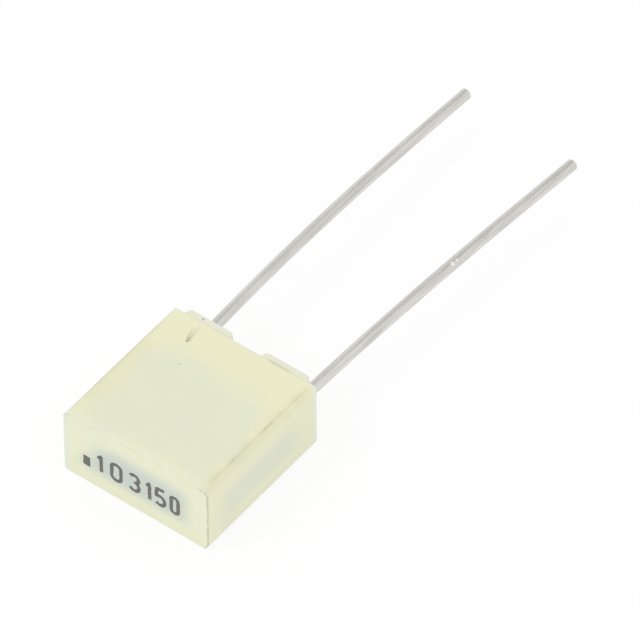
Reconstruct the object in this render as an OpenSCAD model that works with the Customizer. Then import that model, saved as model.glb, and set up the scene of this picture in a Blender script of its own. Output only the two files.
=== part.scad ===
// Box film capacitor with radial leads on a 5 mm pitch, lying on a broad side.
//
// Frame: the origin is midway between the two leads, on the plane that the feet
// stand on when the part is on a board. +X runs along the pitch, +Y along the
// leads away from the case, and +Z out of the upper broad side.

/* [Case] */
// Width of the case, along the lead pitch
case_w = 7.2; // [6.8:0.1:9]
// Thickness of the case between its broad sides
case_t = 3.4; // [3:0.1:5]
// Height of the case from its closed end to its rim, without the feet
case_h = 7.1; // [6:0.1:11]
// Thickness of the four side walls
wall = 0.45; // [0.35:0.05:0.6]
// Thickness of the closed end
end_wall = 0.5; // [0.4:0.05:1]
// Radius of the four long edges
long_edge_r = 0.4; // [0.2:0.05:0.5]
// Radius of the edge round the closed end
end_edge_r = 0.1; // [0.04:0.02:0.2]
// Radius of the edge round the rim
rim_edge_r = 0.2; // [0.05:0.05:0.2]
// Radius of the corners inside the pocket
pocket_r = 0.15; // [0.1:0.05:0.25]

/* [Feet] */
// Height of the four feet that hold the rim off the board
foot_h = 0.3; // [0.3:0.05:0.6]
// Width of one foot
foot_w = 2.25; // [1.5:0.05:2.4]
// Gap between the two feet of one wall
foot_gap = 1.55; // [1.2:0.05:1.7]
// Step from the broad side in to the face of a foot
foot_step = 0.15; // [0.05:0.01:0.2]
// Radius of the corners of a foot
foot_r = 0.2; // [0.1:0.02:0.2]
// Radius of the hollow where a foot rises from the rim
foot_hollow_r = 0.09; // [0.04:0.01:0.09]

/* [Potting resin] */
// Depth of the resin's surface below the rim
resin_recess = 0.2; // [0.15:0.05:0.5]
// Height that the resin creeps up the walls
wall_creep = 0.12; // [0.06:0.01:0.14]
// Height that the resin creeps up a lead
lead_creep = 0.14; // [0.06:0.01:0.2]
// Reach of the creeping edge over the surface, from a wall or a lead
creep_reach = 0.2; // [0.15:0.01:0.25]

/* [Capacitor element] */
// Resin between the element and the closed end
floor_gap = 0.3; // [0.15:0.05:0.8]
// Resin over the element
resin_cover = 0.9; // [0.6:0.05:1.5]
// Resin between the element and a broad wall
side_gap = 0.2; // [0.1:0.05:0.4]
// Thickness of each cover film
cover_t = 0.12; // [0.08:0.01:0.2]
// Thickness of the sprayed metal on each end
spray_t = 0.3; // [0.2:0.05:0.4]
// Radius of the edges of the sprayed metal
spray_r = 0.12; // [0.08:0.01:0.2]

/* [Leads] */
// Distance between the leads at the feet
pitch = 5; // [4.6:0.1:5.4]
// Diameter of the lead wire
lead_d = 0.5; // [0.4:0.05:0.6]
// Depth of the flat pressed on a lead where it is welded to the sprayed metal
weld_press = 0.05; // [0.03:0.01:0.08]
// Length of the weld, down from the top of the element
weld_l = 3; // [1.5:0.1:4]
// Length of the flat above the element
weld_run_out = 0.1; // [0.05:0.05:0.3]
// Straight stretch at the free end of a lead
tip_straight = 4; // [2:0.5:6]
// Chamfer round the cut end of a lead
tip_chamfer = 0.05; // [0.02:0.01:0.1]
// Extra diameter where two stretches of a lead join
joint_proud = 0.004; // [0.002:0.001:0.01]
// Length of the left lead beyond the feet, along the wire
left_l = 17.4; // [10:0.1:20]
// Height of the left lead above the middle of the case
left_offset = 0.01; // [-0.2:0.01:0.2]
// Direction in which the left lead leans, turned from +X towards +Z
left_lean_to = 125; // [0:5:360]
// Angle at which the left lead leans from the feet on
left_lean = 2.3; // [0.5:0.1:4]
// Radius of the bow of the left lead, which bends back to the middle
left_bow_r = 152; // [120:1:400]
// Length of the right lead beyond the feet, along the wire
right_l = 16.7; // [10:0.1:20]
// Height of the right lead above the middle of the case
right_offset = -0.07; // [-0.2:0.01:0.2]
// Direction in which the right lead leans, turned from +X towards +Z
right_lean_to = 5; // [0:5:360]
// Angle at which the right lead leans from the feet on
right_lean = 1.3; // [0.5:0.1:4]
// Radius of the bow of the right lead, which bends on outwards
right_bow_r = 199; // [120:1:400]

/* [Hidden] */
$fn = 48;

LEFT = -1;
RIGHT = 1;
UPPER = 1;
LOWER = -1;
BOW_BACK = -1;
BOW_ON = 1;
BOW_FN = 720;   // fragments of a full circle, for the slight curve of a bow
CLEAR = 1;      // how far a cutting shape runs past what it cuts

rim_y = -foot_h;
end_y = rim_y - case_h;
floor_y = end_y + end_wall;
resin_y = rim_y - resin_recess;

pocket_w = case_w - 2 * wall;
pocket_t = case_t - 2 * wall;

element_low_y = floor_y + floor_gap;
element_top_y = resin_y - resin_cover;
element_h = element_top_y - element_low_y;
element_t = pocket_t - 2 * side_gap;
weld_x = pitch / 2 - lead_d / 2 + weld_press;   // outer face of the sprayed metal
stack_w = 2 * (weld_x - spray_t);
stack_t = element_t - 2 * cover_t;

creep_dip = 0.01;     // how far a creeping edge's arc would run under the surface
hollow_dip = 0.0005;  // how far the hollow beside a foot would run under the rim

// ---------- plain shapes ----------

// A rectangle centred on the origin with round corners.
module round_rect(w, h, r) {
    square([w - 2 * r, h], center = true);
    square([w, h - 2 * r], center = true);
    for (x = [-1, 1], y = [-1, 1])
        translate([x * (w / 2 - r), y * (h / 2 - r)]) circle(r = r);
}

// A rectangle of width w from y = low to y = high, with its own corner radius at each end.
module two_end_rect(w, low, high, low_r, high_r) {
    square_from(w - 2 * low_r, low, high - high_r);
    square_from(w - 2 * high_r, low + low_r, high);
    square_from(w, low + low_r, high - high_r);
    for (x = [-1, 1]) {
        translate([x * (w / 2 - low_r), low + low_r]) circle(r = low_r);
        translate([x * (w / 2 - high_r), high - high_r]) circle(r = high_r);
    }
}

module square_from(w, low, high) {
    translate([-w / 2, low]) square([w, high - low]);
}

// Turns a shape drawn in XY and extruded up into a length along +Y: X stays, the drawing's Y is -Z.
module along_y(from, length) {
    translate([0, from, 0]) rotate([-90, 0, 0]) linear_extrude(length) children();
}

// Extrudes a drawing of X against Y through the whole thickness, centred on Z.
module through_z(length) {
    linear_extrude(length, center = true) children();
}

// Extrudes a drawing of Z against Y through the whole width, centred on X.
module through_x(length) {
    rotate([0, 90, 0]) linear_extrude(length, center = true) children();
}

// ---------- case ----------

// The outer block: its plan, side and end profiles cut from one another.
module case_block() {
    intersection() {
        along_y(end_y, case_h) round_rect(case_w, case_t, long_edge_r);
        through_z(case_t + CLEAR) two_end_rect(case_w, end_y, rim_y, end_edge_r, rim_edge_r);
        through_x(case_w + CLEAR) two_end_rect(case_t, end_y, rim_y, end_edge_r, rim_edge_r);
    }
}

// The front of one foot, from under the rim to the board, with a hollow at each side of its base.
module foot_front() {
    two_end_rect(foot_w, rim_y - wall, 0, foot_r, foot_r);
    for (x = [-1, 1]) translate([x * foot_w / 2, rim_y]) difference() {
        square(2 * foot_hollow_r, center = true);
        translate([x * foot_hollow_r, foot_hollow_r]) circle(r = foot_hollow_r + hollow_dip);
    }
}

// One foot, with its inner face left for the pocket to cut.
module foot(side, level) {
    centre_x = side * (foot_gap + foot_w) / 2;
    face_z = case_t / 2 - foot_step;
    inner_z = pocket_t / 2 - wall / 4;
    translate([centre_x, 0, level * (face_z + inner_z) / 2])
        through_z(face_z - inner_z) foot_front();
}

// The pocket, from the inner face of the closed end to a height above it.
module pocket(height) {
    along_y(floor_y, height) round_rect(pocket_w, pocket_t, pocket_r);
}

module case() {
    color("#e8e8c8")
    difference() {
        union() {
            case_block();
            for (side = [LEFT, RIGHT], level = [LOWER, UPPER]) foot(side, level);
        }
        pocket(-floor_y + CLEAR);
    }
}

// ---------- capacitor element ----------

module element_block(w, t, z) {
    translate([-w / 2, element_low_y, z - t / 2]) cube([w, element_h, t]);
}

module film_stack() {
    color("#8f9bb0") element_block(stack_w, stack_t, 0);
}

module cover_film(level) {
    color("#c9d3d8") element_block(stack_w, cover_t, level * (stack_t + cover_t) / 2);
}

module end_spray(side) {
    color("#9c9c98")
    translate([side * (weld_x - spray_t / 2), (element_low_y + element_top_y) / 2, 0])
        through_x(spray_t) round_rect(element_t, element_h, spray_r);
}

// ---------- leads ----------

function degrees(length, r) = length / r * 180 / PI;

// A ball a hair wider than the wire, which joins two stretches of it.
module wire_joint() {
    sphere(d = lead_d + joint_proud);
}

// A curved stretch that starts at the origin along +Y and turns towards +X,
// or towards -X if the angle is negative.
module wire_bow(r, angle) {
    rotate([0, angle < 0 ? 180 : 0, 0])
        translate([r, 0, 0]) rotate([0, 0, 180 - abs(angle)])
            rotate_extrude(angle = abs(angle), $fn = BOW_FN) translate([r, 0]) circle(d = lead_d, $fn = 48);
}

// Places what follows a curved stretch at its end.
module after_bow(r, angle) {
    translate([sign(angle) * r * (1 - cos(angle)), r * sin(abs(angle)), 0])
        rotate([0, 0, -angle]) children();
}

// The straight end, cut square with its edge broken.
module wire_end() {
    rotate([-90, 0, 0]) rotate_extrude() polygon([
        [0, 0],
        [lead_d / 2, 0],
        [lead_d / 2, tip_straight - tip_chamfer],
        [lead_d / 2 - tip_chamfer, tip_straight],
        [0, tip_straight]
    ]);
}

// The wire beyond the board plane: a long bow and a straight end.
module free_wire(length, bow_r, bow_way) {
    bow = bow_way * degrees(length - tip_straight, bow_r);
    wire_joint();
    wire_bow(bow_r, bow);
    after_bow(bow_r, bow) {
        wire_joint();
        wire_end();
    }
}

// The wire from its weld to the board plane, with the pressed flat that is welded to the sprayed metal.
module welded_wire(side) {
    low_y = element_top_y - weld_l;
    difference() {
        translate([0, low_y, 0]) rotate([-90, 0, 0]) cylinder(h = -low_y, d = lead_d);
        translate([-side * (lead_d / 2 - weld_press + CLEAR / 2), low_y - CLEAR, 0])
            translate([-CLEAR / 2, 0, -CLEAR / 2])
                cube([CLEAR, CLEAR + weld_l + weld_run_out, CLEAR]);
    }
}

module lead(side, offset, length, lean_to, lean, bow_r, bow_way) {
    color("#d2d2ce")
    translate([side * pitch / 2, 0, offset]) {
        welded_wire(side);
        rotate([0, -lean_to, 0]) rotate([0, 0, -lean]) free_wire(length, bow_r, bow_way);
    }
}

module lead_left() {
    lead(LEFT, left_offset, left_l, left_lean_to, left_lean, left_bow_r, BOW_BACK);
}

module lead_right() {
    lead(RIGHT, right_offset, right_l, right_lean_to, right_lean, right_bow_r, BOW_ON);
}

// ---------- potting resin ----------

// Radius of the hollow arc of a creeping edge of this height, which meets the surface at its reach.
function creep_arc_r(height) =
    (creep_reach * creep_reach + pow(height + creep_dip, 2)) / (2 * (height + creep_dip));

// Drawing of the resin left in a corner: the wall is at x = 0 and the surface at y = 0.
module creep_corner(height, behind_wall) {
    r = creep_arc_r(height);
    difference() {
        translate([-behind_wall, 0]) square([behind_wall + creep_reach, r]);
        translate([creep_reach, r - creep_dip]) circle(r = r);
    }
}

// Drawing of the air over the resin between two walls a width apart.
module air_over(w) {
    difference() {
        square_from(w + 2 * CLEAR, resin_y, CLEAR);
        for (s = [-1, 1]) translate([s * w / 2, resin_y])
            mirror([s > 0 ? 1 : 0, 0]) creep_corner(wall_creep, 2 * CLEAR);
    }
}

module resin_in_pocket() {
    difference() {
        pocket(resin_y + 1.5 * wall_creep - floor_y);
        intersection() {
            through_z(case_t) air_over(pocket_w);
            through_x(case_w) air_over(pocket_t);
        }
    }
}

// The collar of resin that creeps up a lead.
module lead_collar(side, offset) {
    translate([side * pitch / 2, resin_y, offset]) rotate([-90, 0, 0]) rotate_extrude() {
        translate([lead_d / 2, 0]) intersection() {
            creep_corner(lead_creep, lead_d / 2);
            translate([-lead_d / 2, 0]) square([lead_d / 2 + creep_reach, lead_creep + creep_dip]);
        }
        translate([0, -lead_creep]) square([lead_d / 2 + creep_reach / 2, lead_creep]);
    }
}

module potting_resin() {
    color("#dcd6b0")
    difference() {
        union() {
            resin_in_pocket();
            lead_collar(LEFT, left_offset);
            lead_collar(RIGHT, right_offset);
        }
        film_stack();
        for (level = [LOWER, UPPER]) cover_film(level);
        for (side = [LEFT, RIGHT]) end_spray(side);
        lead_left();
        lead_right();
    }
}

case();
potting_resin();
film_stack();
cover_film(UPPER);  // cover_film_upper
cover_film(LOWER);  // cover_film_lower
end_spray(LEFT);  // end_spray_left
end_spray(RIGHT);  // end_spray_right
lead_left();
lead_right();
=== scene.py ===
import math

import bmesh
import bpy
from mathutils import Matrix, Vector, noise


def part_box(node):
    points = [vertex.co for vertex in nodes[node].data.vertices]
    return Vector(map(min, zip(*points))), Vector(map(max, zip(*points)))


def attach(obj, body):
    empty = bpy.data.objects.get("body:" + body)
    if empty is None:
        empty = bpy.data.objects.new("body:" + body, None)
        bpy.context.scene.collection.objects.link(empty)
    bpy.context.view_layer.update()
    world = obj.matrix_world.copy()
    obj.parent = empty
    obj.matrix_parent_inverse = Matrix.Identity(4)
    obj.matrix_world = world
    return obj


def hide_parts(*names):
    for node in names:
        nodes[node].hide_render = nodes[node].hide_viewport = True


MM = 0.001

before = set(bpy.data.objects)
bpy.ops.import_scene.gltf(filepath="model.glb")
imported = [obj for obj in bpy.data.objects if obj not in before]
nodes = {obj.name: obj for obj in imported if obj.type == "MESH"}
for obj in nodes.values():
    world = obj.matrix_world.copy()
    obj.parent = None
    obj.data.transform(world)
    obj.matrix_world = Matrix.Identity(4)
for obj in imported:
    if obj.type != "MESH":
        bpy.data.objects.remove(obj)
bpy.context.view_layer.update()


# ---------------------------------------------------------------------------
# Film stack. The element of the capacitor: hundreds of layers of metallised polyester film,
# pressed into a block. The edges of the film show as fine lines on its top and bottom.
# ---------------------------------------------------------------------------


def tint(red, green, blue):
    """The colour that looks like these screen values, 0 to 255, as a shader takes it."""

    def linear(value):
        share = value / 255
        return share / 12.92 if share <= 0.04045 else ((share + 0.055) / 1.055) ** 2.4

    return (linear(red), linear(green), linear(blue), 1.0)


class Field:
    """A number or a colour that changes over a surface. Arithmetic on it adds Math nodes."""

    def __init__(self, finish, socket):
        self.finish = finish
        self.socket = socket

    def math(self, operation, *values):
        settings = {"operation": operation}
        return self.finish.node("ShaderNodeMath", settings, dict(enumerate(values)))

    def __add__(self, other):
        return self.math("ADD", self, other)

    def __sub__(self, other):
        return self.math("SUBTRACT", self, other)

    def __rsub__(self, other):
        return self.math("SUBTRACT", other, self)

    def __mul__(self, other):
        return self.math("MULTIPLY", self, other)

    def __truediv__(self, other):
        return self.math("DIVIDE", self, other)

    def __pow__(self, other):
        return self.math("POWER", self, other)

    def __abs__(self):
        return self.math("ABSOLUTE", self)

    __radd__ = __add__
    __rmul__ = __mul__

    def at_least(self, other):
        return self.math("MAXIMUM", self, other)

    def at_most(self, other):
        return self.math("MINIMUM", self, other)

    def rise(self, start, end):
        """0 before start and 1 past end, with a smooth change between them."""
        settings = {"interpolation_type": "SMOOTHSTEP"}
        sockets = {"Value": self, "From Min": start, "From Max": end}
        return self.finish.node("ShaderNodeMapRange", settings, sockets)

    def between(self, low, full_low, full_high, high):
        """0 outside low and high, 1 between the full ones, and a smooth change on either side."""
        return self.rise(low, full_low) * self.rise(high, full_high)

    def within(self, low, high, soft):
        """1 between low and high, with both borders softened by that much to either side."""
        return self.between(low - soft, low + soft, high - soft, high + soft)


class Finish:
    """The finish of one kind of piece: a material, worked out from places in millimetres."""

    def __init__(self, name, **constants):
        self.material = bpy.data.materials.new(name)
        self.material.use_nodes = True
        self.tree = self.material.node_tree
        self.shader = self.tree.nodes["Principled BSDF"]
        for socket, value in constants.items():
            self.shader.inputs[socket.replace("_", " ")].default_value = value
        metres = self.node("ShaderNodeTexCoord", {"output": "Object"}, {})
        scale = {"operation": "SCALE"}
        self.place = self.node("ShaderNodeVectorMath", scale, {0: metres, "Scale": 1 / MM})
        self.x = self.node("ShaderNodeSeparateXYZ", {"output": "X"}, {0: self.place})
        self.y = self.node("ShaderNodeSeparateXYZ", {"output": "Y"}, {0: self.place})
        self.z = self.node("ShaderNodeSeparateXYZ", {"output": "Z"}, {0: self.place})

    def node(self, kind, settings, sockets):
        """Adds a node: first its settings and which output to take, then values or links."""
        made = self.tree.nodes.new(kind)
        output = 0
        for name, value in settings.items():
            if name == "output":
                output = value
            else:
                setattr(made, name, value)
        for socket, value in sockets.items():
            if isinstance(value, Field):
                self.tree.links.new(value.socket, made.inputs[socket])
            else:
                made.inputs[socket].default_value = value
        return Field(self, made.outputs[output])

    def noise(self, size, detail=2.0, stretch=(1, 1, 1), shift=0.0):
        """Cloudy noise round 0.5, in spots of that size in millimetres, stretched along the axes."""
        spread = {"operation": "DIVIDE"}
        start = {"operation": "ADD"}
        place = self.node("ShaderNodeVectorMath", spread, {0: self.place, 1: stretch})
        place = self.node("ShaderNodeVectorMath", start, {0: place, 1: (shift, shift, shift)})
        return self.node("ShaderNodeTexNoise", {}, {"Vector": place, "Scale": 1 / size, "Detail": detail})

    def mix(self, share, first, second):
        """The first colour where share is 0, and the second where it is 1."""
        settings = {"data_type": "RGBA", "output": 2}
        return self.node("ShaderNodeMix", settings, {0: share, 6: first, 7: second})

    def feed(self, socket, field):
        """Links what changes over the surface to a socket of the shader."""
        self.tree.links.new(field.socket, self.shader.inputs[socket])

    def relief(self, height, depth):
        """Bumps of a height from 0 to 1, this many millimetres deep."""
        self.feed("Normal", self.node("ShaderNodeBump", {}, {"Height": height, "Distance": depth * MM}))

    def cover(self, piece):
        """Gives the finish to a piece or a node."""
        piece.data.materials.clear()
        piece.data.materials.append(self.material)


film = Finish("metallised_film_layers", Metallic=0.85)
film_layers = film.noise(0.05, 3.0, (30, 30, 1))
film_ripple = film.noise(1.2, 3.0, (1, 3, 1))
film.feed("Base Color", film.mix(film_layers.rise(0.35, 0.65), tint(140, 150, 168), tint(205, 209, 214)))
film.feed("Roughness", 0.24 + 0.2 * film_layers)
film.relief(film_layers * 0.6 + film_ripple * 0.4, 0.012)
film.cover(nodes["film_stack"])


# ---------------------------------------------------------------------------
# Cover films. A few turns of plain polyester film on each broad side of the stack, which
# keep the layers together. They are hazy, with faint wrinkles from the press.
# ---------------------------------------------------------------------------

cover = Finish("plain_polyester_film", Specular_IOR_Level=0.6)
cover_wrinkle = cover.noise(0.9, 4.0, (1, 4, 1))
cover_haze = cover.noise(2.2, 2.0)
cover.feed("Base Color", cover.mix(cover_haze.rise(0.35, 0.7), tint(186, 198, 206), tint(206, 214, 217)))
cover.feed("Roughness", 0.22 + 0.25 * cover_wrinkle)
cover.relief(cover_wrinkle, 0.02)
for side in ("cover_film_upper", "cover_film_lower"):
    cover.cover(nodes[side])


# ---------------------------------------------------------------------------
# Sprayed ends. Molten zinc and tin are sprayed on both ends of the stack and join all its
# layers. The metal is grainy and dull, and bright where a lead is welded to it.
# ---------------------------------------------------------------------------

sprayed = Finish("sprayed_zinc_and_tin", Metallic=1.0)
spray_grain = sprayed.noise(0.09, 4.0)
spray_cloud = sprayed.noise(0.7, 2.0)
spray_weld = sprayed.y.within(-4.3, -1.4, 0.15) * sprayed.z.within(-0.22, 0.22, 0.08)
spray_tone = sprayed.mix(spray_cloud.rise(0.3, 0.7), tint(142, 142, 139), tint(168, 168, 163))
sprayed.feed("Base Color", sprayed.mix(spray_weld, spray_tone, tint(205, 204, 198)))
sprayed.feed("Roughness", 0.68 - 0.3 * spray_weld)
sprayed.relief(spray_grain * 0.8 + spray_cloud * 0.2, 0.03)
for side in ("end_spray_left", "end_spray_right"):
    sprayed.cover(nodes[side])


# ---------------------------------------------------------------------------
# Leads. Tinned steel wire, drawn and straightened, welded flat against the sprayed ends and cut
# to length with cutters. Each one is swept along the middle line of its node, a little worn.
# ---------------------------------------------------------------------------

WIRE_RADIUS = 0.25 * MM
WIRE_SIDES = 64
WIRE_STEP = 0.12 * MM
WIRE_STATIONS = (-0.35, 0.35, 2.0, 4.5, 7.0, 9.5, 11.5)
WIRE_WORN = 0.003 * MM
WIRE_WORN_LENGTH = 0.9 * MM
TIP_STRAIGHT = 3.4 * MM
TIP_ROUND = 0.07 * MM
TIP_ROUND_STEPS = 5
WELD_RUN_OUT = 0.1 * MM
WELD_STEP = 0.02 * MM
CUT_FACE = 0.02

# Two nicks on the right lead, painted near-white as glints on the side that faces the camera: their
# places and radii in millimetres.
NICK_GLINTS = (((3.04, 9.23, 0.19), 0.11), ((3.06, 9.49, 0.19), 0.08))
NICK_GLINT_EDGE = 0.04

stack_low, stack_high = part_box("film_stack")
weld_end = stack_high.y + WELD_RUN_OUT


def wire_middle(node, y):
    """The middle of a wire where a plane square to Y cuts it."""
    cut = bmesh.new()
    cut.from_mesh(nodes[node].data)
    whole = cut.verts[:] + cut.edges[:] + cut.faces[:]
    found = bmesh.ops.bisect_plane(cut, geom=whole, plane_co=(0, y, 0), plane_no=(0, 1, 0))
    rim = [v.co.copy() for v in found["geom_cut"] if isinstance(v, bmesh.types.BMVert)]
    cut.free()
    low = Vector([min(point[axis] for point in rim) for axis in range(3)])
    high = Vector([max(point[axis] for point in rim) for axis in range(3)])
    return (low + high) / 2


def smooth_line(points):
    """Points a wire step apart on a smooth curve through the given ones."""
    line = []
    ends = [2 * points[0] - points[1], *points, 2 * points[-1] - points[-2]]
    for before, start, end, after in zip(ends, ends[1:], ends[2:], ends[3:]):
        count = math.ceil((end - start).length / WIRE_STEP)
        for step in range(count):
            t = step / count
            bend = 2 * before - 5 * start + 4 * end - after
            twist = 3 * start - before - 3 * end + after
            line.append(start + (end - before + bend * t + twist * t * t) * t / 2)
    return [*line, points[-1]]


def wire_line(node):
    """Points along the middle of a wire, from its welded end to its cut end."""
    low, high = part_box(node)
    root = wire_middle(node, weld_end + WELD_RUN_OUT)
    stretch = [Vector((root.x, y, root.z)) for y in (low.y, weld_end, weld_end + WELD_STEP)]
    late, last = (wire_middle(node, high.y - back) for back in (TIP_STRAIGHT, TIP_STRAIGHT / 6))
    way = (last - late).normalized()
    reach = max((v.co - late).dot(way) for v in nodes[node].data.vertices)
    bow = [wire_middle(node, y * MM) for y in WIRE_STATIONS]
    return stretch + smooth_line([root, *bow, late, late + way * reach])


def swept_wire(line):
    """A round bar along the line, with the edges round its far end."""
    wire = bmesh.new()
    bmesh.ops.create_circle(wire, segments=WIRE_SIDES, radius=WIRE_RADIUS)
    rim = wire.edges[:]
    bmesh.ops.contextual_create(wire, geom=rim)
    placed = Matrix.Identity(4)
    for before, point, after in zip([line[0], *line], line, [*line[1:], line[-1]]):
        turned = Vector((0, 0, 1)).rotation_difference(after - before).to_matrix().to_4x4()
        target = Matrix.Translation(point) @ turned
        ring = {v for edge in rim for v in edge.verts}
        if point is not line[0]:
            grown = bmesh.ops.extrude_edge_only(wire, edges=rim)["geom"]
            ring = {v for v in grown if isinstance(v, bmesh.types.BMVert)}
            rim = [e for e in grown if isinstance(e, bmesh.types.BMEdge) and ring.issuperset(e.verts)]
        bmesh.ops.transform(wire, matrix=target @ placed.inverted(), verts=list(ring))
        placed = target
    bmesh.ops.contextual_create(wire, geom=rim)
    return wire, rim


def placed_piece(name, shape, sharp=35):
    """Makes a shape an object of its own, smooth apart from edges sharper than that angle."""
    bmesh.ops.recalc_face_normals(shape, faces=shape.faces)
    for face in shape.faces:
        face.smooth = True
    mesh = bpy.data.meshes.new(name)
    shape.to_mesh(mesh)
    shape.free()
    mesh.set_sharp_from_angle(angle=math.radians(sharp))
    piece = bpy.data.objects.new(name, mesh)
    bpy.context.scene.collection.objects.link(piece)
    return piece


def cut_lead(name, node, weld_face, nearer):
    """A lead: a swept wire with its welded flat, the worn round of its skin and its cut end."""
    wire, end_rim = swept_wire(wire_line(node))
    bmesh.ops.bevel(
        wire,
        geom=end_rim,
        offset=TIP_ROUND,
        affect="EDGES",
        segments=TIP_ROUND_STEPS,
        profile=0.5,
        material=-1,
    )
    wire.normal_update()
    for v in wire.verts:
        if v.co.y > weld_end + WELD_STEP:
            v.co += v.normal * WIRE_WORN * noise.noise(v.co / WIRE_WORN_LENGTH)
        if v.co.y < weld_end + WELD_STEP / 2:
            v.co.x = nearer(v.co.x, weld_face)
    lead = placed_piece(name, wire)
    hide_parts(node)
    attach(lead, "root")
    return lead


tinned = Finish("tinned_wire_drawn", Metallic=1.0)
drawn_line = tinned.noise(0.09, 1.0, (1, 60, 1))
drawn_patch = tinned.noise(0.25, 1.5, (1, 14, 1), 4.0)
tin_cloud = tinned.noise(0.8, 2.0, (1, 2, 1), 9.0)
left_cut, right_cut = (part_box(node)[1].y / MM - CUT_FACE for node in ("lead_left", "lead_right"))
cut_end = tinned.y.rise(left_cut - 0.01, left_cut + 0.01) * tinned.x.rise(0.1, -0.1)
cut_end = cut_end + tinned.y.rise(right_cut - 0.01, right_cut + 0.01) * tinned.x.rise(-0.1, 0.1)
tin_tone = tinned.mix(tin_cloud.rise(0.3, 0.7), tint(216, 215, 210), tint(223, 222, 216))
tin_tone = tinned.mix(drawn_line.rise(0.42, 0.62) * 0.55, tin_tone, tint(201, 199, 194))
tin_tone = tinned.mix(drawn_patch.rise(0.52, 0.7) * 0.4, tin_tone, tint(190, 188, 184))
tin_tone = tinned.mix(cut_end * 0.8, tin_tone, tint(140, 134, 126))
nick_glint = 0
for nick, radius in NICK_GLINTS:
    measured = {"operation": "DISTANCE", "output": "Value"}
    away = tinned.node("ShaderNodeVectorMath", measured, {0: tinned.place, 1: nick})
    nick_glint = nick_glint + away.rise(radius, radius - NICK_GLINT_EDGE)
# Painted glints: the nicks are near-white in the base colour, and rougher.
tinned.feed("Base Color", tinned.mix(nick_glint, tin_tone, tint(250, 249, 243)))
tinned.feed("Roughness", 0.13 + 0.16 * drawn_patch + 0.2 * cut_end + 0.25 * nick_glint)
tinned.relief(drawn_patch, 0.003)

left_lead = cut_lead("left_lead_wire", "lead_left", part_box("end_spray_left")[0].x, min)
right_lead = cut_lead("right_lead_wire", "lead_right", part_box("end_spray_right")[1].x, max)
for lead in (left_lead, right_lead):
    tinned.cover(lead)


# ---------------------------------------------------------------------------
# Case. One cup moulded in pale cream plastic, with four stand-off feet on its rim. Its walls are
# thin enough for the grey of the element to show through, and dirt has settled along its edges.
# Shade is painted across its rounded upper right edge and, with the dirt, in the corners where
# the feet rise; its lower sides are painted paler to cancel warm light bounced up from the table.
# ---------------------------------------------------------------------------

LONG_EDGE = 0.4
FOOT_HEIGHT = 0.3
FOOT_STEP = 0.15
FOOT_FROM, FOOT_TO = 0.8, 3.0
BORDER_WAVE = 1.4
EDGE_INSET = 0.03

case_low, case_high = (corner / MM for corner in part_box("case"))
half_width, half_thick = case_high.x, case_high.z
end_plane, rim_plane = case_low.y, case_high.y - FOOT_HEIGHT
foot_face = half_thick - FOOT_STEP

warm_cream = tint(235, 234, 199)
pale_cream = tint(234, 235, 207)
cool_cream = tint(228, 232, 220)
rim_cream = tint(236, 236, 222)
foot_cream = tint(231, 231, 214)
element_blue = tint(203, 213, 213)
element_grey = tint(201, 210, 202)
# Olive for dirt and for painted shade.
olive_dirt_and_shade = tint(160, 158, 124)
red_dirt = tint(150, 124, 110)
grey_dirt = tint(158, 150, 142)
dark_dirt = tint(92, 78, 56)

case = Finish("cream_moulded_plastic", Specular_IOR_Level=0.35)
x, y, z = case.x, case.y, case.z
cloud = case.noise(1.4, 3.0)
fine = case.noise(0.12, 3.0)
smear = case.noise(0.5, 3.0, shift=3.0)
on_top = z.rise(foot_face - 0.15, foot_face - 0.05)

# How much of the grey element shows through each wall, with uneven borders.
wave_x = x + BORDER_WAVE * (case.noise(2.0, 2.0, shift=11.0) - 0.5)
wave_y = y + BORDER_WAVE * (case.noise(2.0, 2.0, shift=23.0) - 0.5)
over_broad = wave_x.between(-3.6, -2.3, 2.6, 3.7) * wave_y.between(-7.5, -6.4, -3.3, -1.4)
over_narrow = wave_y.between(-7.2, -5.4, -2.4, -0.9) * z.between(-1.05, -0.15, 0.3, 1.35)
over_end = (x - 0.7 * z).rise(-2.95, -1.5) * x.rise(3.0, 2.0) * z.between(-1.2, -0.4, 0.35, 1.35)
over_end = over_end * y.rise(end_plane + 0.3, end_plane + 0.05) * (0.75 + 0.4 * cloud)

# The plastic, paler at its sides, closed end, rim and feet, and greyer over the element.
# The lower sides are painted paler still, to cancel the warm light bounced up from the table.
pale_sides_and_painted_light = abs(x).rise(half_width - 0.2, half_width) * (0.6 + 0.4 * z.rise(-0.3, -1.0))
near_end = y.rise(end_plane + 0.5, end_plane + 0.15)
plastic = case.mix(pale_sides_and_painted_light.at_least(near_end), warm_cream, pale_cream)
plastic = case.mix(x.rise(-3.15, -3.5) * (0.25 + 0.4 * near_end), plastic, cool_cream)
rim_band = (y + 0.12 * abs(x).rise(3.3, 3.5)).rise(rim_plane - 0.25, rim_plane - 0.12)
rim_band = rim_band * (1 - 0.8 * abs(x).within(FOOT_FROM, FOOT_TO, 0.06))
plastic = case.mix(rim_band * 0.8, plastic, rim_cream)
plastic = case.mix(y.rise(rim_plane - 0.03, rim_plane + 0.04) * 0.9, plastic, foot_cream)
plastic = case.mix(over_broad * (0.2 + 0.18 * cloud) + over_narrow * 0.32, plastic, element_blue)
plastic = case.mix(over_end, plastic, element_grey)

# A fine line of dirt round the closed end: its distance from the outline, which has round
# corners, and then from the middle of the rounded edge.
past_x = abs(x) - (half_width - LONG_EDGE)
past_z = abs(z) - (half_thick - LONG_EDGE)
corner = (past_x.at_least(0) ** 2 + past_z.at_least(0) ** 2) ** 0.5
outline = corner + past_x.at_least(past_z).at_most(0) - LONG_EDGE
end_edge = ((outline + EDGE_INSET) ** 2 + (y - (end_plane + EDGE_INSET)) ** 2) ** 0.5
end_line = end_edge.rise(0.06, 0.015) * (fine * 0.8 + smear * 0.8).rise(0.45, 0.95)
end_line = end_line * (0.12 + 0.3 * x.rise(half_width - 0.7, half_width - 0.3))
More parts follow.
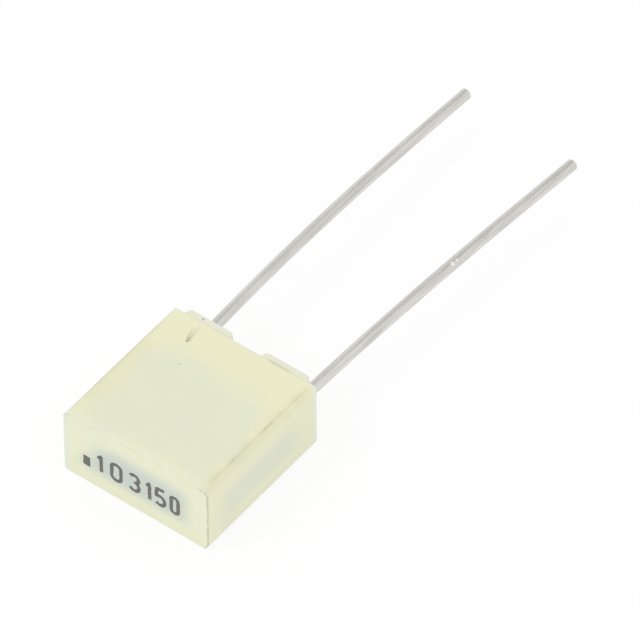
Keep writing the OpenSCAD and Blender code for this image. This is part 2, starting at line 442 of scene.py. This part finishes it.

# Dirt along the upper right edge, placed by the angle round the edge from the broad side, and a painted
# soft shade across the rounded edge next to it.
edge_x, edge_z = x - (half_width - LONG_EDGE), z - (half_thick - LONG_EDGE)
turn = case.node("ShaderNodeMath", {"operation": "ARCTAN2"}, {0: edge_x, 1: edge_z})
right_edge = turn.within(0.14, 0.4, 0.16) * edge_x.rise(-0.02, 0.05) * edge_z.rise(0.2, 0.3)
right_heavy = 0.16 + 0.1 * y.within(-3.5, -2.85, 0.3) + 0.07 * y.within(-5.6, -5.2, 0.25)
right_line = right_edge * y.rise(-7.2, -6.4) * y.rise(-0.45, -0.9) * right_heavy
right_line = right_line * (0.1 + smear + 0.8 * fine)
# Painted shade: a soft, blotchy olive darkening across the rounded upper right edge.
right_painted_shade = x.rise(2.8, 3.3) * edge_z.rise(0.1, 0.3) * y.rise(-0.5, -0.9)
right_painted_shade = right_painted_shade * 0.1 * smear.rise(0.2, 0.6)

# A weaker shade along the upper left edge, and a thin grey line at the edge itself.
left_shade = x.rise(-2.5, -3.0) * y.within(-6.3, -2.4, 0.4) * 0.06
left_shade = left_shade + x.rise(-3.1, -3.4) * y.within(-6.8, -1.2, 0.4) * 0.08
left_shade = left_shade * edge_z.rise(0.0, 0.2)
left_line = x.rise(-3.3, -3.5) * edge_z.rise(0.05, 0.2) * (0.1 + y.within(-5.7, -1.2, 0.5) * 0.3 * smear)

# Dirt and painted shade in the corner where the feet rise, and on the rounded rim before it, heavier at
# the right.
foot_corner = y.within(rim_plane - 0.09, rim_plane + 0.03, 0.03)
foot_corner = foot_corner * z.within(foot_face - 0.02, foot_face + 0.12, 0.03)
foot_spread = x.within(1.1, 2.2, 0.3) * 0.5 + x.within(-1.6, -0.9, 0.3) * 0.1 + 0.02
foot_brow = y.within(rim_plane - 0.19, rim_plane - 0.11, 0.03) * z.rise(foot_face, foot_face + 0.05)
brow_spread = x.within(1.25, 2.2, 0.2) * 0.17 + x.within(-1.8, -0.8, 0.3) * 0.05
foot_dirt_and_shade = (foot_corner * foot_spread + foot_brow * brow_spread) * (0.4 + 1.2 * smear)


def mark(px, py, radius, soft):
    """A round mark on the upper broad side."""
    away = ((x - px) ** 2 + (y - py) ** 2) ** 0.5
    return away.rise(radius + soft, radius) * on_top


def scratch(start, end, radius, soft):
    """A straight mark between two points on the upper broad side."""
    (ax, ay), (bx, by) = start, end
    long_x, long_y = bx - ax, by - ay
    length = math.hypot(long_x, long_y)
    along = (x - ax) * (long_x / length) + (y - ay) * (long_y / length)
    along = along.at_least(0).at_most(length)
    off_x = x - ax - along * (long_x / length)
    off_y = y - ay - along * (long_y / length)
    away = (off_x ** 2 + off_y ** 2) ** 0.5
    return away.rise(radius + soft, radius) * on_top


# A scuff with two trails, a spot on the left foot, a speck, and spots on the upper right edge.
scuff = mark(-1.96, -1.53, 0.02, 0.09).at_least(mark(-1.9, -1.43, 0.0, 0.08))
scuff = scuff.at_least(scratch((-2.03, -1.36), (-1.96, -1.53), 0.0, 0.06)) * (0.3 + 0.7 * fine)
trail = scratch((-1.96, -1.5), (-2.03, -0.7), 0.0, 0.12)
trail = trail.at_least(scratch((-2.02, -1.45), (-2.19, -0.87), 0.0, 0.11))
trail = trail * (0.13 + 0.22 * y.rise(-0.8, -1.4)) * (0.3 + 0.6 * smear + 0.6 * fine)
rim_spot = scratch((-2.26, -0.17), (-2.25, -0.1), 0.01, 0.05) * (0.3 + 0.5 * fine)
specks = mark(-1.47, -2.68, 0.01, 0.06) * 0.3
for px, py, share in ((3.31, -3.36, 0.12), (3.31, -2.98, 0.08), (3.31, -5.39, 0.12)):
    specks = specks.at_least(mark(px, py, 0.01, 0.09) * share)

tone = case.mix(right_line + right_painted_shade + left_shade, plastic, olive_dirt_and_shade)
tone = case.mix(left_line, tone, grey_dirt)
tone = case.mix(foot_dirt_and_shade, tone, olive_dirt_and_shade)
tone = case.mix(end_line, tone, red_dirt)
tone = case.mix((scuff * 0.85).at_least(trail) + rim_spot + specks, tone, dark_dirt)
case.feed("Base Color", tone)
case.feed("Roughness", 0.42 + 0.16 * cloud + 0.1 * fine)
case.relief(fine * 0.25 + case.noise(2.5, 2.0, shift=7.0) * 0.75, 0.012)
case.cover(nodes["case"])


# ---------------------------------------------------------------------------
# Potting resin. Pale epoxy poured round the element up to the rim, where it creeps up the walls
# and the leads as it cures. Its skin is glossy, with small craters where bubbles broke.
# ---------------------------------------------------------------------------

resin = Finish("pale_epoxy_resin", Specular_IOR_Level=0.55)
resin_cloud = resin.noise(1.6, 3.0)
resin_grain = resin.noise(0.15, 3.0)
bubble = resin.node("ShaderNodeTexVoronoi", {}, {"Vector": resin.place, "Scale": 2.2})
crater = bubble.rise(0.12, 0.02)
resin_tone = resin.mix(resin_cloud.rise(0.3, 0.7), tint(216, 210, 172), tint(226, 222, 190))
# The craters are painted darker, as shade in their hollows.
resin.feed("Base Color", resin.mix(crater * 0.35, resin_tone, tint(186, 176, 138)))
resin.feed("Roughness", 0.18 + 0.2 * resin_grain + 0.25 * crater)
resin.relief(resin_cloud * 0.7 + resin_grain * 0.1 - crater * 0.5, 0.04)
resin.cover(nodes["potting_resin"])


# ---------------------------------------------------------------------------
# Marking. A square dot and plain figures, printed in dark ink on the closed end in single
# strokes. The ink stands a hair proud of the plastic, and its edges are ragged.
# ---------------------------------------------------------------------------

INK_LINE = 0.178
INK_PROUD = 0.008
INK_RAGGED = 0.03
INK_RAG_SIZE = 0.07
INK_STEP = 0.03
INK_TILT = 0.013
RAG_SHIFT = Vector((31, 7, 0))
FIGURE_HEIGHT = 0.9
FIGURE_FOOT = -0.6
DOT_WIDTH, DOT_HEIGHT, DOT_MIDDLE = 0.335, 0.53, (-2.42, -0.41)
DOT_CUTS = 11
ARC_STEP = 15


def arc(middle, radii, start, end):
    """Points of an ellipse's arc, from one angle to another in degrees."""
    count = max(2, round(abs(end - start) / ARC_STEP))
    turns = [math.radians(start + (end - start) * i / count) for i in range(count + 1)]
    return [(middle[0] + radii[0] * math.cos(t), middle[1] + radii[1] * math.sin(t)) for t in turns]


# Each figure is drawn in a cell one high, with its line's middle from 0 to the given width.
def nought(width):
    across, round_by = width / 2, 0.2
    high = arc((across, 1 - round_by), (across, round_by), 0, 180)
    return high + arc((across, round_by), (across, round_by), 180, 360)


def one(width):
    return [(0, 0.76), (width * 0.95, 1), (width, 0)]


def three(width):
    across = width / 2
    upper = arc((across, 0.765), (across * 0.92, 0.235), 150, -80)
    return upper + arc((across, 0.27), (across, 0.27), 80, -150)


def five(width):
    bowl = arc((width * 0.45, 0.29), (width * 0.55, 0.29), 100, -140)
    return [(width * 0.95, 1), (0.04, 1), (0, 0.52), *bowl]


# Each figure with its left edge, its width, and whether its line closes.
FIGURES = (
    (one, -1.84, 0.15, False),
    (nought, -1.17, 0.455, True),
    (three, -0.28, 0.46, False),
    (one, 0.57, 0.14, False),
    (five, 1.035, 0.42, False),
    (nought, 1.78, 0.34, True),
)


def evenly(points, closed):
    """The same line with a point every ink step, so that its edges can be ragged."""
    ring = points + points[:1] if closed else points
    line = []
    for (ax, az), (bx, bz) in zip(ring, ring[1:]):
        count = max(1, round(math.hypot(bx - ax, bz - az) / INK_STEP))
        line += [(ax + (bx - ax) * i / count, az + (bz - az) * i / count) for i in range(count)]
    return line if closed else [*line, points[-1]]


strokes = bpy.data.curves.new("ink_strokes", "CURVE")
strokes.dimensions = "3D"
strokes.bevel_depth = INK_LINE / 2
strokes.bevel_resolution = 2
strokes.use_fill_caps = True
for figure, left, width, closed in FIGURES:
    drawn = [(left + px, FIGURE_FOOT + pz * FIGURE_HEIGHT) for px, pz in figure(width)]
    points = evenly(drawn, closed)
    spline = strokes.splines.new("POLY")
    spline.points.add(len(points) - 1)
    spline.use_cyclic_u = closed
    for point, (px, pz) in zip(spline.points, points):
        point.co = (px, 0, pz, 1)
brush = bpy.data.objects.new("ink_strokes", strokes)
printed = bmesh.new()
printed.from_mesh(brush.to_mesh())
brush.to_mesh_clear()
bpy.data.objects.remove(brush)
bmesh.ops.scale(printed, vec=(1, 2 * INK_PROUD / INK_LINE, 1), verts=printed.verts)

dot = bmesh.ops.create_cube(printed, size=1)["verts"]
bmesh.ops.scale(printed, vec=(DOT_WIDTH, 2 * INK_PROUD, DOT_HEIGHT), verts=dot)
bmesh.ops.translate(printed, vec=(DOT_MIDDLE[0], 0, DOT_MIDDLE[1]), verts=dot)
dot_edges = list({edge for v in dot for edge in v.link_edges})
bmesh.ops.subdivide_edges(printed, edges=dot_edges, cuts=DOT_CUTS, use_grid_fill=True)

for v in printed.verts:
    spot = v.co / INK_RAG_SIZE
    v.co.x += INK_RAGGED * noise.noise(spot)
    v.co.z += INK_RAGGED * noise.noise(spot + RAG_SHIFT) + INK_TILT * v.co.x
bmesh.ops.translate(printed, vec=(0, end_plane, 0), verts=printed.verts)
bmesh.ops.scale(printed, vec=(MM, MM, MM), verts=printed.verts)
marking = placed_piece("ink_marking", printed)
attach(marking, "root")

ink = Finish("dark_printing_ink", Specular_IOR_Level=0.3)
ink_wear = ink.noise(0.09, 3.0)
ink_brown = ink.noise(0.6, 2.0, shift=5.0)
ink_tone = ink.mix(ink_brown.rise(0.45, 0.7), tint(108, 109, 104), tint(118, 109, 99))
ink.feed("Base Color", ink.mix(ink_wear.rise(0.55, 0.75) * 0.35, ink_tone, tint(150, 150, 138)))
ink.feed("Roughness", 0.55 + 0.2 * ink_wear)
ink.relief(ink_wear, 0.006)
ink.cover(marking)


# ---------------------------------------------------------------------------
# Table. A plain white sheet under the part, lit as a light tent lights it, and white all
# round. It keeps the part's soft shadow.
# ---------------------------------------------------------------------------

TABLE_RADIUS = 0.6
TABLE_SIDES = 96
SHADOW_KEPT = 0.15

sheet = bmesh.new()
bmesh.ops.create_circle(sheet, cap_ends=True, segments=TABLE_SIDES, radius=TABLE_RADIUS)
bmesh.ops.translate(sheet, vec=(0, 0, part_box("case")[0].z), verts=sheet.verts)
table = placed_piece("table", sheet)

paper = Finish("white_table", Roughness=0.9, Specular_IOR_Level=0.1)
paper.feed("Base Color", paper.mix(paper.noise(40.0), tint(251, 251, 251), tint(253, 253, 253)))
lit = Field(paper, paper.shader.outputs["BSDF"])
glow = paper.node("ShaderNodeEmission", {}, {})
seen = paper.node("ShaderNodeLightPath", {"output": "Is Camera Ray"}, {})
for ray in ("Is Glossy Ray", "Is Transmission Ray"):
    seen = seen.at_least(paper.node("ShaderNodeLightPath", {"output": ray}, {}))
blend = paper.node("ShaderNodeMixShader", {}, {0: seen * (1 - SHADOW_KEPT), 1: lit, 2: glow})
paper.tree.links.new(blend.socket, paper.tree.nodes["Material Output"].inputs["Surface"])
paper.cover(table)


# ---------------------------------------------------------------------------
# Light. A light tent: an even white world, a large soft lamp from the upper left, and a gap in
# the tent behind the part, which only gives the metal something dark to reflect.
# ---------------------------------------------------------------------------

TENT_LEVEL = 0.935
TENT_REFLECTED = 0.93
TENT_SEEN = 1.0
KEY_POWER = 1.05
KEY_SIZE = 0.5
KEY_PLACE = Vector((-0.45, -0.5, 0.75))
GAP_PLACE = Vector((-0.14, 0.42, 0.64))
GAP_WIDTH, GAP_LENGTH = 0.6, 1.6

world = bpy.data.worlds.new("light_tent")
bpy.context.scene.world = world
world.use_nodes = True
tent = world.node_tree
sky = tent.nodes["Background"]
sky.inputs["Color"].default_value = (1, 1, 1, 1)
rays = tent.nodes.new("ShaderNodeLightPath")
lighting = tent.nodes.new("ShaderNodeMix")
lighting.inputs["A"].default_value = TENT_LEVEL
lighting.inputs["B"].default_value = TENT_REFLECTED
tent.links.new(rays.outputs["Is Glossy Ray"], lighting.inputs["Factor"])
background = tent.nodes.new("ShaderNodeMix")
background.inputs["B"].default_value = TENT_SEEN
tent.links.new(lighting.outputs["Result"], background.inputs["A"])
tent.links.new(rays.outputs["Is Camera Ray"], background.inputs["Factor"])
tent.links.new(background.outputs["Result"], sky.inputs["Strength"])

lamp = bpy.data.lights.new("key_softbox", "AREA")
lamp.size = KEY_SIZE
lamp.energy = KEY_POWER
key = bpy.data.objects.new("key_softbox", lamp)
key.location = KEY_PLACE
key.rotation_mode = "QUATERNION"
key.rotation_quaternion = (-KEY_PLACE).to_track_quat("-Z", "Y")
bpy.context.scene.collection.objects.link(key)

dark = bmesh.new()
bmesh.ops.create_grid(dark, x_segments=1, y_segments=1, size=0.5)
bmesh.ops.scale(dark, vec=(GAP_WIDTH, GAP_LENGTH, 1), verts=dark.verts)
facing = (-GAP_PLACE).to_track_quat("-Z", "Y").to_matrix().to_4x4()
bmesh.ops.transform(dark, matrix=Matrix.Translation(GAP_PLACE) @ facing, verts=dark.verts)
gap = placed_piece("tent_gap", dark)
gap.visible_camera = False
gap.visible_diffuse = False
gap.visible_transmission = False
gap.visible_shadow = False
grey_card = Finish("grey_card", Roughness=1.0, Specular_IOR_Level=0.0)
grey_tone = grey_card.mix(grey_card.noise(30.0), tint(228, 228, 228), tint(231, 231, 231))
grey_card.feed("Base Color", grey_tone)
grey_card.cover(gap)


# ---------------------------------------------------------------------------
# Camera. A long lens from the front right and above, close to a parallel view.
# ---------------------------------------------------------------------------

LENS = 562.5
SENSOR = 36
VIEW_AZIMUTH, VIEW_HEIGHT, VIEW_ROLL = 37.5, 47.6, -0.18
VIEW_DISTANCE = 392.9 * MM
AIM_ACROSS, AIM_UP = 5.04 * MM, 4.18 * MM
aim_from = Vector((0, -3.8, 0)) * MM

azimuth, height, roll = (math.radians(angle) for angle in (VIEW_AZIMUTH, VIEW_HEIGHT, VIEW_ROLL))
level = Vector((math.cos(azimuth), math.sin(azimuth), 0))
onward = Vector((-math.sin(azimuth), math.cos(azimuth), 0))
ahead = onward * math.cos(height) - Vector((0, 0, math.sin(height)))
upright = level.cross(ahead)
across = level * math.cos(roll) + upright * math.sin(roll)
up = upright * math.cos(roll) - level * math.sin(roll)
lens = bpy.data.cameras.new("camera")
lens.lens = LENS
lens.sensor_width = SENSOR
lens.clip_start = 0.01
camera = bpy.data.objects.new("camera", lens)
stand = aim_from + across * AIM_ACROSS + up * AIM_UP - ahead * VIEW_DISTANCE
turned = Matrix((across, up, -ahead)).transposed().to_4x4()
camera.matrix_world = Matrix.Translation(stand) @ turned
bpy.context.scene.collection.objects.link(camera)
bpy.context.scene.camera = camera
bpy.context.scene.view_settings.view_transform = "Standard"
